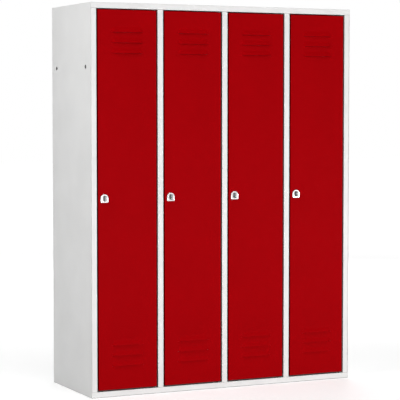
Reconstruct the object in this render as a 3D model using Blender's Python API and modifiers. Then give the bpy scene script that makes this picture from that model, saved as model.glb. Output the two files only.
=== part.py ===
"""Compartment locker: a sheet-steel body with louvred doors on concealed pins and turning locks.

The doors face -Y and +Z is up. The origin lies on the floor under the middle of the locker.
Sizes are in metres.
"""
import math

import bmesh
import bpy
from mathutils import Matrix, Vector

# Layout of the body
COLUMNS = 4
OPENING_WIDTH = 0.3025
MEMBER_WIDTH = 0.028
RAIL_HEIGHT = 0.027
HEIGHT = 1.800
DEPTH = 0.500

# Folded sheet
SHEET = 0.001
SEAT = 0.0003
FRAME_DEPTH = 0.022
FRAME_LIP = 0.010
SIDE_FLANGE = 0.015
BACK_FLANGE = 0.015
PARTITION_FLANGE = 0.012

# Linking holes in the sides
LINK_HOLE_RADIUS = 0.009
LINK_HOLE_INSET = 0.064
LINK_HOLE_DROP = 0.290

# Inside of a compartment
SHELF_DROP = 0.255
SHELF_FLANGE = 0.025
SHELF_SETBACK = 0.040
COAT_RAIL_DROP = 0.075
COAT_RAIL_RADIUS = 0.011
COAT_RAIL_WALL = 0.0015
COAT_RAIL_CUP_RADIUS = 0.019
COAT_RAIL_CUP_LENGTH = 0.006

# Doors
DOOR_GAP = 0.0065
DOOR_TOP_GAP = 0.005
DOOR_RETURN = 0.018
DOOR_LIP = 0.012
STIFFENER_WIDTH = 0.060
STIFFENER_CREST = 0.036
STIFFENER_DEPTH = 0.012
STIFFENER_CLEARANCE = 0.030

# Pressed louvres
LOUVRES_IN_GROUP = 3
LOUVRE_LENGTH = 0.160
LOUVRE_RISE = 0.026
LOUVRE_REACH = 0.006
LOUVRE_END = 0.020
LOUVRE_PITCH = 0.0475
LOUVRE_TOP_MARGIN = 0.1015
LOUVRE_BOTTOM_MARGIN = 0.1075
LOUVRE_SHEAR_GAP = 0.0005
LOUVRE_SIDES = 16
LOUVRE_RINGS = 7

# Pivot pins and bushes
DOOR_SWING = math.radians(110)
HINGE_SETBACK = 0.007
HINGE_MARGIN = 0.0015
PIN_RADIUS = 0.003
PIN_HEAD_RADIUS = 0.0045
PIN_HEAD_HEIGHT = 0.002
PIN_COLLAR_HEIGHT = 0.0008
PIN_TIP_CHAMFER = 0.0007
BUSH_WALL = 0.0013
BUSH_FLANGE_OVERHANG = 0.0012
BUSH_LENGTH = 0.009
PIN_TIP_CLEARANCE = 0.001

# Locks
LOCK_HEIGHT = 0.912
LOCK_INSET = 0.0295
PLATE_WIDTH = 0.038
PLATE_HEIGHT = 0.039
PLATE_THICKNESS = 0.005
PLATE_TOP_RADIUS = 0.018
PLATE_BOTTOM_RADIUS = 0.004
PLATE_EDGE = 0.0012
BARREL_RADIUS = 0.009
BARREL_BORE_RADIUS = 0.005
NUT_ACROSS_FLATS = 0.026
NUT_THICKNESS = 0.004
GRIP_WIDTH = 0.010
GRIP_HEIGHT = 0.026
GRIP_REACH = 0.012
GRIP_EDGE = 0.0025
SPINDLE_SQUARE = 0.0062
CAM_CLEARANCE = 0.0025
CAM_THICKNESS = 0.0025
CAM_WIDTH = 0.016
CAM_BITE = 0.009
CAM_CORNER = 0.003

# Fineness of round shapes
ROUND_SIDES = 12
ARC_STEPS = 4
EDGE_STEPS = 2
CUT_MARGIN = 0.002
MERGE_DISTANCE = 0.00001
SMOOTH_ANGLE = math.radians(35)

# Places worked out from the sizes above
WIDTH = COLUMNS * OPENING_WIDTH + (COLUMNS + 1) * MEMBER_WIDTH
LOCK_REACH = SEAT + PLATE_THICKNESS + SEAT + GRIP_REACH
FRONT_Y = (LOCK_REACH - DEPTH) / 2
BACK_Y = FRONT_Y + DEPTH
SIDE_X = WIDTH / 2
INNER_SIDE_X = SIDE_X - SHEET - SEAT
INNER_BACK_Y = BACK_Y - SHEET - SEAT
FRAME_BACK_Y = FRONT_Y + FRAME_DEPTH
BACK_LOW = RAIL_HEIGHT + SEAT
BACK_HIGH = HEIGHT - SHEET - SEAT
PARTITION_LOW = BACK_LOW + SHEET + SEAT
PARTITION_HIGH = BACK_HIGH - SHEET - SEAT
PARTITION_FRONT_Y = FRAME_BACK_Y + SEAT
PARTITION_BACK_Y = INNER_BACK_Y - SHEET - SEAT
SHELF_BACK_Y = PARTITION_BACK_Y - SHEET - SEAT
SHELF_Z = HEIGHT - SHELF_DROP
COAT_RAIL_Y = (FRONT_Y + SHELF_SETBACK + SHELF_BACK_Y) / 2
COAT_RAIL_Z = SHELF_Z - COAT_RAIL_DROP

DOOR_WIDTH = OPENING_WIDTH - 2 * DOOR_GAP
DOOR_LOW = RAIL_HEIGHT + DOOR_GAP
DOOR_HIGH = HEIGHT - RAIL_HEIGHT - DOOR_TOP_GAP
# The pin stands far enough in from the door's edge for three things: the front corner passes the frame
# as the door starts to swing, the face clears the frame at full swing, and the pin's head fits in the pan.
CORNER_ROOM = (HINGE_SETBACK ** 2 - DOOR_GAP ** 2) / (2 * DOOR_GAP)
FACE_ROOM = HINGE_SETBACK * math.tan(DOOR_SWING / 2) - DOOR_GAP
HEAD_ROOM = PIN_HEAD_RADIUS + SHEET
HINGE_EDGE = max(CORNER_ROOM, FACE_ROOM, HEAD_ROOM) + HINGE_MARGIN
DOOR_FREE_X = HINGE_EDGE - DOOR_WIDTH
DOOR_MIDDLE_X = HINGE_EDGE - DOOR_WIDTH / 2
DOOR_FRONT_Y = -HINGE_SETBACK

PIN_HOLE_RADIUS = PIN_RADIUS + SEAT
BUSH_RADIUS = PIN_HOLE_RADIUS + BUSH_WALL
BUSH_FLANGE_HEIGHT = DOOR_GAP - PIN_COLLAR_HEIGHT - 3 * SEAT
PIN_REACH = DOOR_GAP + BUSH_LENGTH - PIN_TIP_CLEARANCE

LOCK_X = DOOR_FREE_X + LOCK_INSET
PLATE_FRONT = -SEAT - PLATE_THICKNESS
GRIP_BACK = PLATE_FRONT - SEAT
CAM_FRONT = FRAME_DEPTH + CAM_CLEARANCE
CAM_BACK = CAM_FRONT + CAM_THICKNESS
CAM_LENGTH = LOCK_INSET + DOOR_GAP + CAM_BITE
SPINDLE_RADIUS = BARREL_BORE_RADIUS - SEAT

# Turns a profile drawn in the plane of X and Y, and drawn out along Z, to lie across the locker
ACROSS = Matrix(((0, 0, 1, 0), (1, 0, 0, 0), (0, 1, 0, 0), (0, 0, 0, 1)))
# Stands a plate drawn in the plane of X and Y upright, facing the front
UPRIGHT = Matrix.Rotation(math.radians(90), 4, "X")


def clear_scene():
    for old in list(bpy.data.objects):
        bpy.data.objects.remove(old, do_unlink=True)


def new_collection(name):
    collection = bpy.data.collections.new(name)
    bpy.context.scene.collection.children.link(collection)
    return collection


def finish(name, colour, roughness, metallic):
    material = bpy.data.materials.new(name)
    material.use_nodes = True
    shader = material.node_tree.nodes["Principled BSDF"]
    shader.inputs["Base Color"].default_value = (*colour, 1.0)
    shader.inputs["Roughness"].default_value = roughness
    shader.inputs["Metallic"].default_value = metallic
    return material


clear_scene()
PARTS = new_collection("compartment_locker")
CUTTERS = new_collection("cutters")

BODY_PAINT = finish("body_paint", (0.76, 0.76, 0.75), 0.45, 0.0)
DOOR_PAINT = finish("door_paint", (0.36, 0.001, 0.004), 0.40, 0.0)
CHROME = finish("chrome", (0.80, 0.80, 0.80), 0.12, 1.0)
ZINC = finish("zinc_plate", (0.62, 0.63, 0.64), 0.35, 1.0)
BLACK_PLATE = finish("black_plate", (0.08, 0.085, 0.085), 0.30, 1.0)
NYLON = finish("nylon", (0.05, 0.05, 0.05), 0.50, 0.0)


# Modelling helpers

def mesh_from(bm, name):
    mesh = bpy.data.meshes.new(name)
    bm.to_mesh(mesh)
    bm.free()
    return mesh


def add_part(name, mesh, material, parent=None, location=(0, 0, 0), rotation=(0, 0, 0)):
    part = bpy.data.objects.new(name, mesh)
    PARTS.objects.link(part)
    part.parent = parent
    part.location = location
    part.rotation_euler = rotation
    mesh.materials.clear()
    mesh.materials.append(material)
    return part


def add_cutter(name, mesh):
    cutter = bpy.data.objects.new(name, mesh)
    CUTTERS.objects.link(cutter)
    cutter.hide_render = True
    cutter.display_type = "WIRE"
    return cutter


def add_axis(name, location, parent=None):
    axis = bpy.data.objects.new(name, None)
    PARTS.objects.link(axis)
    axis.parent = parent
    axis.location = location
    return axis


def combine(obj, tool, operation):
    step = obj.modifiers.new(tool.name, "BOOLEAN")
    step.operation = operation
    step.object = tool
    step.solver = "EXACT"


def thicken(obj):
    shell = obj.modifiers.new("sheet", "SOLIDIFY")
    shell.thickness = SHEET
    shell.offset = -1
    shell.use_even_offset = True


def round_edges(obj, width):
    edge = obj.modifiers.new("rounded_edges", "BEVEL")
    edge.width = width
    edge.segments = EDGE_STEPS
    edge.limit_method = "ANGLE"
    edge.angle_limit = SMOOTH_ANGLE


def baked(obj, *tools):
    """Evaluated mesh of obj, shaded smooth; obj and the tools that shaped it are removed."""
    bpy.context.view_layer.update()
    graph = bpy.context.evaluated_depsgraph_get()
    mesh = bpy.data.meshes.new_from_object(obj.evaluated_get(graph))
    mesh.shade_smooth()
    mesh.set_sharp_from_angle(angle=SMOOTH_ANGLE)
    for used in (obj, *tools):
        bpy.data.objects.remove(used, do_unlink=True)
    return mesh


def folded_sheet(name, profile, start, end, across=False):
    """Sheet folded along profile and drawn out from start to end.

    The profile gives the outer faces, which lie on the right of the walk along it.
    """
    bm = bmesh.new()
    corners = [bm.verts.new((u, v, start)) for u, v in profile]
    folds = [bm.edges.new(pair) for pair in zip(corners, corners[1:])]
    drawn = bmesh.ops.extrude_edge_only(bm, edges=folds)["geom"]
    far_corners = [item for item in drawn if isinstance(item, bmesh.types.BMVert)]
    bmesh.ops.translate(bm, verts=far_corners, vec=(0, 0, end - start))
    bmesh.ops.recalc_face_normals(bm, faces=bm.faces)
    bm.normal_update()
    first_step = corners[1].co - corners[0].co
    outward = first_step.cross(Vector((0, 0, 1)))
    if folds[0].link_faces[0].normal.dot(outward) < 0:
        bmesh.ops.reverse_faces(bm, faces=bm.faces)
    if across:
        bm.transform(ACROSS)
    sheet = add_part(name, mesh_from(bm, name), BODY_PAINT)
    thicken(sheet)
    return sheet


def mirrored(profile):
    return [(-u, v) for u, v in reversed(profile)]


def box(bm, low, high):
    size = [top - bottom for bottom, top in zip(low, high)]
    middle = [(top + bottom) / 2 for bottom, top in zip(low, high)]
    place = Matrix.Translation(middle) @ Matrix.Diagonal((*size, 1))
    return bmesh.ops.create_cube(bm, size=1, matrix=place)["verts"]


def rod(bm, radius, start, end, sides=ROUND_SIDES):
    """Closed cylinder between two points."""
    start = Vector(start)
    reach = Vector(end) - start
    turn = reach.to_track_quat("Z", "Y").to_matrix().to_4x4()
    place = Matrix.Translation(start + reach / 2) @ turn
    bmesh.ops.create_cone(
        bm, cap_ends=True, segments=sides, radius1=radius, radius2=radius, depth=reach.length, matrix=place)


def turned(name, profile, closed=False):
    """Mesh turned about Z from a profile of (radius, height) that runs down its outer side."""
    bm = bmesh.new()
    points = [bm.verts.new((radius, 0, height)) for radius, height in profile]
    for pair in zip(points, points[1:]):
        bm.edges.new(pair)
    if closed:
        bm.edges.new((points[-1], points[0]))
    blank = add_cutter(name, mesh_from(bm, name))
    screw = blank.modifiers.new("turning", "SCREW")
    screw.steps = ROUND_SIDES
    screw.render_steps = ROUND_SIDES
    screw.use_merge_vertices = True
    screw.merge_threshold = MERGE_DISTANCE
    return baked(blank)


def rounded_outline(width, height, top_radius, bottom_radius):
    """Points round a plate, anticlockwise from the lower right corner's arc."""
    right = width / 2
    top = height / 2
    arcs = (
        (right - bottom_radius, bottom_radius - top, bottom_radius, -90),
        (right - top_radius, top - top_radius, top_radius, 0),
        (top_radius - right, top - top_radius, top_radius, 90),
        (bottom_radius - right, bottom_radius - top, bottom_radius, 180),
    )
    points = []
    for centre_x, centre_y, radius, first_angle in arcs:
        for step in range(ARC_STEPS + 1):
            angle = math.radians(first_angle + 90 * step / ARC_STEPS)
            point = Vector((centre_x + radius * math.cos(angle), centre_y + radius * math.sin(angle)))
            if not points or (point - points[-1]).length > SEAT:
                points.append(point)
    if (points[0] - points[-1]).length <= SEAT:
        points.pop()
    return points


def plate(name, outline, front, back):
    """Upright plate object with the outline seen from the front, between two depths along Y."""
    curve = bpy.data.curves.new(name, "CURVE")
    curve.dimensions = "2D"
    curve.fill_mode = "BOTH"
    curve.extrude = (back - front) / 2
    spline = curve.splines.new("POLY")
    spline.points.add(len(outline) - 1)
    for point, (x, z) in zip(spline.points, outline):
        point.co = (x, z, 0, 1)
    spline.use_cyclic_u = True
    drawing = add_cutter(name, curve)
    bpy.context.view_layer.update()
    graph = bpy.context.evaluated_depsgraph_get()
    mesh = bpy.data.meshes.new_from_object(drawing.evaluated_get(graph))
    bm = bmesh.new()
    bm.from_mesh(mesh)
    bmesh.ops.remove_doubles(bm, verts=bm.verts, dist=MERGE_DISTANCE)
    bmesh.ops.recalc_face_normals(bm, faces=bm.faces)
    bm.transform(Matrix.Translation((0, (front + back) / 2, 0)) @ UPRIGHT)
    bpy.data.objects.remove(drawing, do_unlink=True)
    return add_cutter(name, mesh_from(bm, name))


# Places along the front

def opening_left(column):
    return -SIDE_X + MEMBER_WIDTH + column * (OPENING_WIDTH + MEMBER_WIDTH)


def post_middle(column):
    """Middle of the post on the right of a column."""
    return opening_left(column) + OPENING_WIDTH + MEMBER_WIDTH / 2


def hinge_x(column):
    return opening_left(column) + OPENING_WIDTH - DOOR_GAP - HINGE_EDGE


def compartment_walls(column):
    """Inner faces of the two walls beside a compartment."""
    left = -SIDE_X + SHEET if column == 0 else post_middle(column - 1)
    right = SIDE_X - SHEET if column == COLUMNS - 1 else post_middle(column) - SHEET
    return left, right


# Fixed body

def make_sides():
    bm = bmesh.new()
    for y in (FRONT_Y + LINK_HOLE_INSET, BACK_Y - LINK_HOLE_INSET):
        z = HEIGHT - LINK_HOLE_DROP
        reach = SIDE_X + CUT_MARGIN
        rod(bm, LINK_HOLE_RADIUS, (-reach, y, z), (reach, y, z))
    link_holes = add_cutter("link_holes", mesh_from(bm, "link_holes"))
    profile = [(SIDE_FLANGE - SIDE_X, BACK_Y), (-SIDE_X, BACK_Y), (-SIDE_X, FRONT_Y)]
    left = folded_sheet("left_side_panel", profile, 0, HEIGHT)
    right = folded_sheet("right_side_panel", mirrored(profile), 0, HEIGHT)
    for side in (left, right):
        combine(side, link_holes, "DIFFERENCE")


def rail_section(top):
    """Front rail below a level plate: the plate's front edge, the face, the return and its lip."""
    low = top - RAIL_HEIGHT
    return [(FRONT_Y, top), (FRONT_Y, low), (FRAME_BACK_Y, low), (FRAME_BACK_Y, low + FRAME_LIP)]


def hinge_holes(name, radius, z):
    bm = bmesh.new()
    for column in range(COLUMNS):
        x = hinge_x(column)
        y = FRONT_Y + HINGE_SETBACK
        rod(bm, radius, (x, y, z - CUT_MARGIN), (x, y, z + CUT_MARGIN))
    return add_cutter(name, mesh_from(bm, name))


def make_top_and_floor():
    top_profile = [(INNER_BACK_Y, HEIGHT)] + rail_section(HEIGHT)
    top = folded_sheet("top_panel", top_profile, -INNER_SIDE_X, INNER_SIDE_X, across=True)
    combine(top, hinge_holes("upper_pin_holes", PIN_HOLE_RADIUS, HEIGHT - RAIL_HEIGHT), "DIFFERENCE")
    floor_profile = [(INNER_BACK_Y, 0), (INNER_BACK_Y, RAIL_HEIGHT)] + rail_section(RAIL_HEIGHT)
    floor = folded_sheet("floor_panel", floor_profile, -INNER_SIDE_X, INNER_SIDE_X, across=True)
    combine(floor, hinge_holes("bush_holes", BUSH_RADIUS + SEAT, RAIL_HEIGHT), "DIFFERENCE")


def make_back():
    flange_end = INNER_BACK_Y - BACK_FLANGE
    profile = [
        (flange_end, BACK_LOW), (INNER_BACK_Y, BACK_LOW),
        (INNER_BACK_Y, BACK_HIGH), (flange_end, BACK_HIGH)]
    folded_sheet("back_panel", profile, -INNER_SIDE_X, INNER_SIDE_X, across=True)


def front_channel(name, left, right):
    """Upright of the front frame: a lipped channel, open at the back, between the two rails."""
    profile = [
        (left + FRAME_LIP, FRAME_BACK_Y), (left, FRAME_BACK_Y), (left, FRONT_Y),
        (right, FRONT_Y), (right, FRAME_BACK_Y), (right - FRAME_LIP, FRAME_BACK_Y)]
    folded_sheet(name, profile, RAIL_HEIGHT + SEAT, HEIGHT - RAIL_HEIGHT - SEAT)


def make_front_frame():
    inner_edge = SIDE_X - MEMBER_WIDTH
    front_channel("left_stile", -INNER_SIDE_X, -inner_edge)
    front_channel("right_stile", inner_edge, INNER_SIDE_X)
    for column in range(COLUMNS - 1):
        middle = post_middle(column)
        front_channel(f"centre_post_{column + 1}", middle - MEMBER_WIDTH / 2, middle + MEMBER_WIDTH / 2)


def make_partitions():
    for column in range(COLUMNS - 1):
        wall = post_middle(column)
        flange_end = wall - PARTITION_FLANGE
        profile = [
            (flange_end, PARTITION_FRONT_Y), (wall, PARTITION_FRONT_Y),
            (wall, PARTITION_BACK_Y), (flange_end, PARTITION_BACK_Y)]
        folded_sheet(f"partition_{column + 1}", profile, PARTITION_LOW, PARTITION_HIGH)


def make_shelves():
    """Trays with their four edges turned down."""
    for column in range(COLUMNS):
        left, right = compartment_walls(column)
        bm = bmesh.new()
        low = (left + SEAT, FRONT_Y + SHELF_SETBACK, SHELF_Z - SHELF_FLANGE)
        box(bm, low, (right - SEAT, SHELF_BACK_Y, SHELF_Z))
        underside = min(bm.faces, key=lambda face: face.calc_center_median().z)
        bmesh.ops.delete(bm, geom=[underside], context="FACES_ONLY")
        name = f"hat_shelf_{column + 1}"
        thicken(add_part(name, mesh_from(bm, name), BODY_PAINT))


def make_coat_rails():
    """Tubes with a cup at each end, turned about their own length."""
    bore = COAT_RAIL_RADIUS - COAT_RAIL_WALL
    for column in range(COLUMNS):
        left, right = compartment_walls(column)
        length = right - left - 2 * SEAT
        profile = [
            (bore, length), (COAT_RAIL_CUP_RADIUS, length),
            (COAT_RAIL_CUP_RADIUS, length - COAT_RAIL_CUP_LENGTH),
            (COAT_RAIL_RADIUS, length - COAT_RAIL_CUP_LENGTH),
            (COAT_RAIL_RADIUS, COAT_RAIL_CUP_LENGTH), (COAT_RAIL_CUP_RADIUS, COAT_RAIL_CUP_LENGTH),
            (COAT_RAIL_CUP_RADIUS, 0), (bore, 0)]
        name = f"coat_rail_{column + 1}"
        tube = turned(name, profile, closed=True)
        end = (left + SEAT, COAT_RAIL_Y, COAT_RAIL_Z)
        add_part(name, tube, ZINC, location=end, rotation=(0, math.radians(90), 0))


# Door pan with its pressed louvres

def hood(name, skin, back, low):
    """Long ellipsoid set inside the louvre by skin, kept in front of back and above low.

    Its middle line runs along X on the lip, in the plane of the door's front face.
    """
    bm = bmesh.new()
    lying = Matrix.Rotation(math.radians(90), 4, "Y")
    ball = bmesh.ops.create_uvsphere(
        bm, u_segments=LOUVRE_SIDES, v_segments=LOUVRE_RINGS, radius=1, matrix=lying)["verts"]
    # With an odd number of rings no ring lies in the middle, so the halves part into a straight length.
    widest = math.cos(math.pi / (2 * LOUVRE_RINGS))
    end = LOUVRE_END - skin
    straight = LOUVRE_LENGTH / 2 - LOUVRE_END
    for point in ball:
        point.co.x = math.copysign(straight, point.co.x) + point.co.x * end
        point.co.y *= (LOUVRE_REACH - skin) / widest
        point.co.z *= (LOUVRE_RISE - skin) / widest
    for place, away in (((0, back, 0), (0, 1, 0)), ((0, 0, low), (0, 0, -1))):
        everything = bm.verts[:] + bm.edges[:] + bm.faces[:]
        cut = bmesh.ops.bisect_plane(
            bm, geom=everything, dist=MERGE_DISTANCE, plane_co=place, plane_no=away, clear_outer=True)
        rim = [item for item in cut["geom_cut"] if isinstance(item, bmesh.types.BMEdge)]
        bmesh.ops.edgeloop_fill(bm, edges=rim)
    bmesh.ops.recalc_face_normals(bm, faces=bm.faces)
    return mesh_from(bm, name)


def louvre_heights():
    """Heights of the louvres' lips, from the top group down to the lowest."""
    upper = [DOOR_HIGH - LOUVRE_TOP_MARGIN - step * LOUVRE_PITCH for step in range(LOUVRES_IN_GROUP)]
    lower = [DOOR_LOW + LOUVRE_BOTTOM_MARGIN + step * LOUVRE_PITCH for step in range(LOUVRES_IN_GROUP)]
    return upper + lower[::-1]


def at_each_louvre(shape):
    bm = bmesh.new()
    for height in louvre_heights():
        first_new = len(bm.verts)
        bm.from_mesh(shape)
        bm.verts.ensure_lookup_table()
        bmesh.ops.translate(bm, verts=bm.verts[first_new:], vec=(DOOR_MIDDLE_X, DOOR_FRONT_Y, height))
    return bm


def door_mesh():
    """Folded pan with returned lips, in the frame of its hinge axis."""
    bm = bmesh.new()
    box(bm, (DOOR_FREE_X, DOOR_FRONT_Y, DOOR_LOW), (HINGE_EDGE, DOOR_FRONT_Y + DOOR_RETURN, DOOR_HIGH))
    rear = max(bm.faces, key=lambda face: face.calc_center_median().y)
    bmesh.ops.inset_region(bm, faces=[rear], thickness=DOOR_LIP)
    bmesh.ops.delete(bm, geom=[rear], context="FACES_ONLY")
    pan = add_cutter("door_pan", mesh_from(bm, "door_pan"))
    thicken(pan)

    hoods = at_each_louvre(hood("hood", 0, SHEET / 2, 0))
    pressed = add_cutter("louvre_hoods", mesh_from(hoods, "louvre_hoods"))
    combine(pan, pressed, "UNION")

    holes = at_each_louvre(hood("hollow", SHEET, SHEET + CUT_MARGIN, -LOUVRE_SHEAR_GAP))
    through_front = (DOOR_FRONT_Y - CUT_MARGIN, DOOR_FRONT_Y + SHEET + CUT_MARGIN)
    lock_ends = [(LOCK_X, y, LOCK_HEIGHT) for y in through_front]
    rod(holes, BARREL_RADIUS + SEAT, *lock_ends)
    for z in (DOOR_LOW, DOOR_HIGH):
        rod(holes, PIN_HOLE_RADIUS, (0, 0, z - CUT_MARGIN), (0, 0, z + CUT_MARGIN))
    pierced = add_cutter("door_holes", mesh_from(holes, "door_holes"))
    combine(pan, pierced, "DIFFERENCE")
    return baked(pan, pressed, pierced)


def stiffener_mesh():
    """Hat-section rib behind the door's face, between the two groups of louvres."""
    upper_lip = DOOR_HIGH - LOUVRE_TOP_MARGIN - (LOUVRES_IN_GROUP - 1) * LOUVRE_PITCH
    lower_lip = DOOR_LOW + LOUVRE_BOTTOM_MARGIN + (LOUVRES_IN_GROUP - 1) * LOUVRE_PITCH
    low = lower_lip + LOUVRE_RISE + STIFFENER_CLEARANCE
    high = upper_lip - STIFFENER_CLEARANCE
    foot_y = DOOR_FRONT_Y + 2 * SHEET + SEAT
    crest_y = foot_y - SHEET + STIFFENER_DEPTH
    brim = STIFFENER_WIDTH / 2
    crest = STIFFENER_CREST / 2
    profile = [
        (brim, foot_y), (crest, foot_y), (crest, crest_y),
        (-crest, crest_y), (-crest, foot_y), (-brim, foot_y)]
    rib = folded_sheet("stiffener", [(DOOR_MIDDLE_X + x, y) for x, y in profile], low, high)
    return baked(rib)


# Hinges

def pin_mesh():
    """Pin standing out of the door's end along +Z, from the end's outer face at zero height."""
    head_top = -SHEET - SEAT
    head_low = head_top - PIN_HEAD_HEIGHT
    collar_top = SEAT + PIN_COLLAR_HEIGHT
    tip = PIN_REACH - PIN_TIP_CHAMFER
    profile = [
        (0, PIN_REACH), (PIN_RADIUS - PIN_TIP_CHAMFER, PIN_REACH), (PIN_RADIUS, tip),
        (PIN_RADIUS, collar_top), (PIN_HEAD_RADIUS, collar_top),
        (PIN_HEAD_RADIUS, SEAT), (PIN_RADIUS, SEAT),
        (PIN_RADIUS, head_top), (PIN_HEAD_RADIUS, head_top),
        (PIN_HEAD_RADIUS, head_low), (0, head_low)]
    return turned("hinge_pin", profile)


def bush_mesh():
    """Flanged bush that stands in the floor's hole, from the floor's upper face at zero height."""
    flange_top = SEAT + BUSH_FLANGE_HEIGHT
    flange_radius = BUSH_RADIUS + BUSH_FLANGE_OVERHANG
    profile = [
        (PIN_HOLE_RADIUS, flange_top), (flange_radius, flange_top),
        (flange_radius, SEAT), (BUSH_RADIUS, SEAT),
        (BUSH_RADIUS, -BUSH_LENGTH), (PIN_HOLE_RADIUS, -BUSH_LENGTH)]
    return turned("hinge_bush", profile, closed=True)


# Locks, each in the frame of its axis where it meets the door's front face

def housing_mesh():
    """Face plate and threaded barrel, bored for the spindle."""
    outline = rounded_outline(PLATE_WIDTH, PLATE_HEIGHT, PLATE_TOP_RADIUS, PLATE_BOTTOM_RADIUS)
    face = plate("lock_plate", outline, PLATE_FRONT, -SEAT)
    round_edges(face, PLATE_EDGE)
    barrel_end = CAM_FRONT - SEAT
    bm = bmesh.new()
    rod(bm, BARREL_RADIUS, (0, PLATE_FRONT / 2, 0), (0, barrel_end, 0))
    barrel = add_cutter("lock_barrel", mesh_from(bm, "lock_barrel"))
    combine(face, barrel, "UNION")
    bm = bmesh.new()
    rod(bm, BARREL_BORE_RADIUS, (0, PLATE_FRONT - CUT_MARGIN, 0), (0, barrel_end + CUT_MARGIN, 0))
    bore = add_cutter("lock_bore", mesh_from(bm, "lock_bore"))
    combine(face, bore, "DIFFERENCE")
    return baked(face, barrel, bore)


def nut_mesh():
    corner_radius = NUT_ACROSS_FLATS / 2 / math.cos(math.pi / 6)
    near = SHEET + SEAT
    far = near + NUT_THICKNESS
    bm = bmesh.new()
    rod(bm, corner_radius, (0, near, 0), (0, far, 0), sides=6)
    nut = add_cutter("lock_nut", mesh_from(bm, "lock_nut"))
    bm = bmesh.new()
    rod(bm, BARREL_RADIUS + SEAT, (0, near - CUT_MARGIN, 0), (0, far + CUT_MARGIN, 0))
    hole = add_cutter("nut_hole", mesh_from(bm, "nut_hole"))
    combine(nut, hole, "DIFFERENCE")
    return baked(nut, hole)


def grip_mesh():
    """Oval grip with its round spindle and the square end that carries the cam."""
    outline = rounded_outline(GRIP_WIDTH, GRIP_HEIGHT, GRIP_WIDTH / 2, GRIP_WIDTH / 2)
    grip = plate("lock_grip", outline, GRIP_BACK - GRIP_REACH, GRIP_BACK)
    round_edges(grip, GRIP_EDGE)
    shoulder = CAM_FRONT - SEAT
    bm = bmesh.new()
    rod(bm, SPINDLE_RADIUS, (0, GRIP_BACK - GRIP_REACH / 2, 0), (0, shoulder, 0))
    spindle = add_cutter("spindle", mesh_from(bm, "spindle"))
    combine(grip, spindle, "UNION")
    half = SPINDLE_SQUARE / 2
    bm = bmesh.new()
    box(bm, (-half, shoulder - CUT_MARGIN, -half), (half, CAM_BACK, half))
    square = add_cutter("spindle_square", mesh_from(bm, "spindle_square"))
    combine(grip, square, "UNION")
    return baked(grip, spindle, square)


def cam_mesh():
    """Flat cam that hangs from the spindle when the lock is open."""
    height = CAM_LENGTH + CAM_WIDTH / 2
    outline = rounded_outline(CAM_WIDTH, height, CAM_WIDTH / 2, CAM_CORNER)
    cam = plate("lock_cam", outline, CAM_FRONT, CAM_BACK)
    cam.data.transform(Matrix.Translation((0, 0, CAM_WIDTH / 2 - height / 2)))
    half = SPINDLE_SQUARE / 2 + SEAT
    bm = bmesh.new()
    box(bm, (-half, CAM_FRONT - CUT_MARGIN, -half), (half, CAM_BACK + CUT_MARGIN, half))
    hole = add_cutter("cam_hole", mesh_from(bm, "cam_hole"))
    combine(cam, hole, "DIFFERENCE")
    return baked(cam, hole)


def make_doors():
    door = door_mesh()
    stiffener = stiffener_mesh()
    pin = pin_mesh()
    bush = bush_mesh()
    housing = housing_mesh()
    nut = nut_mesh()
    grip = grip_mesh()
    cam = cam_mesh()
    upside_down = (math.radians(180), 0, 0)
    for column in range(COLUMNS):
        number = column + 1
        axis_x = hinge_x(column)
        axis_y = FRONT_Y + HINGE_SETBACK
        hinge = add_axis(f"door_axis_{number}", (axis_x, axis_y, 0))
        add_part(f"door_panel_{number}", door, DOOR_PAINT, hinge)
        add_part(f"door_stiffener_{number}", stiffener, DOOR_PAINT, hinge)
        add_part(f"upper_hinge_pin_{number}", pin, BLACK_PLATE, hinge, (0, 0, DOOR_HIGH))
        add_part(f"lower_hinge_pin_{number}", pin, BLACK_PLATE, hinge, (0, 0, DOOR_LOW), upside_down)
        add_part(f"hinge_bush_{number}", bush, NYLON, None, (axis_x, axis_y, RAIL_HEIGHT))
        lock_place = (LOCK_X, DOOR_FRONT_Y, LOCK_HEIGHT)
        add_part(f"lock_housing_{number}", housing, CHROME, hinge, lock_place)
        add_part(f"lock_nut_{number}", nut, ZINC, hinge, lock_place)
        turn = add_axis(f"lock_axis_{number}", lock_place, hinge)
        add_part(f"lock_grip_{number}", grip, BLACK_PLATE, turn)
        add_part(f"lock_cam_{number}", cam, ZINC, turn)


make_sides()
make_top_and_floor()
make_back()
make_front_frame()
make_partitions()
make_shelves()
make_coat_rails()
make_doors()
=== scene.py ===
"""Looks of the compartment locker: bent painted sheets, pressed louvres, bright locks and studio light.

The doors face -Y and +Z is up. Sizes are in metres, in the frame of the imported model.
"""
import math

import bmesh
import bpy
from mathutils import Matrix, Vector


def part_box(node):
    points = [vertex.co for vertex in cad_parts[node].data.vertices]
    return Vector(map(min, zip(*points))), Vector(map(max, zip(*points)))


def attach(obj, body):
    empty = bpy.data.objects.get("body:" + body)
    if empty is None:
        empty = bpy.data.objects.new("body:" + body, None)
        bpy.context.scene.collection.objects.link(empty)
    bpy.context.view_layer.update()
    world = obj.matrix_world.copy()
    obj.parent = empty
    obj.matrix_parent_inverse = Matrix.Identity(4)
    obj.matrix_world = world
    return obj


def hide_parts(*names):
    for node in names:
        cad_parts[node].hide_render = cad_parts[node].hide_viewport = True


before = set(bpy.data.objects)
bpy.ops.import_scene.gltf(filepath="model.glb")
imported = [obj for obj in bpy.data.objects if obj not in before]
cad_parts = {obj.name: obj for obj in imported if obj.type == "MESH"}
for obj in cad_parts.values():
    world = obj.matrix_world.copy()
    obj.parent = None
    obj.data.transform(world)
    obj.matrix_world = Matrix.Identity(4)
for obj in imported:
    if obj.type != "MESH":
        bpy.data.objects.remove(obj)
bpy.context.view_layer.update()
COLUMNS = 4

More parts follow.
